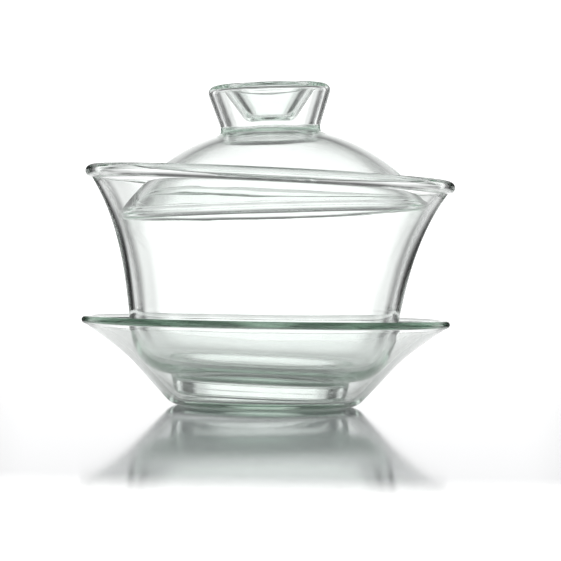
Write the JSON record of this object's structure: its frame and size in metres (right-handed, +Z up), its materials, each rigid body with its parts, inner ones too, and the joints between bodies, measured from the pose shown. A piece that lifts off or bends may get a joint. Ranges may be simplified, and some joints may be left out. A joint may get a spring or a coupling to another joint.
{
  "type": "gaiwan",
  "caption": "Clear glass gaiwan: a flared tea bowl with a domed, knobbed lid resting in its mouth, standing in a conical saucer, for brewing and pouring leaf tea.",
  "frame": {"origin": "centre of the saucer's base, on the surface it stands on", "axes": "+Z up, +X to the right as the cup leans towards +X, +Y away from the viewer"},
  "size_m": [0.1006, 0.1002, 0.0876],
  "materials": {
    "clear_glass": "clear fire-polished glass"
  },
  "bodies": {
    "saucer": {"saucer": "clear_glass"},
    "cup": {"cup_bowl": "clear_glass", "cup_foot": "clear_glass"},
    "lid": {"lid_dome": "clear_glass", "lid_knob": "clear_glass"}
  },
  "joints": [
    {"name": "cup_lift", "type": "slide", "parent": "saucer", "child": "cup", "axis": [0, 0, 1], "range_m": [0, 0.05]},
    {"name": "lid_lift", "type": "slide", "parent": "cup", "child": "lid", "axis": [0, 0, 1], "range_m": [0, 0.04]}
  ]
}
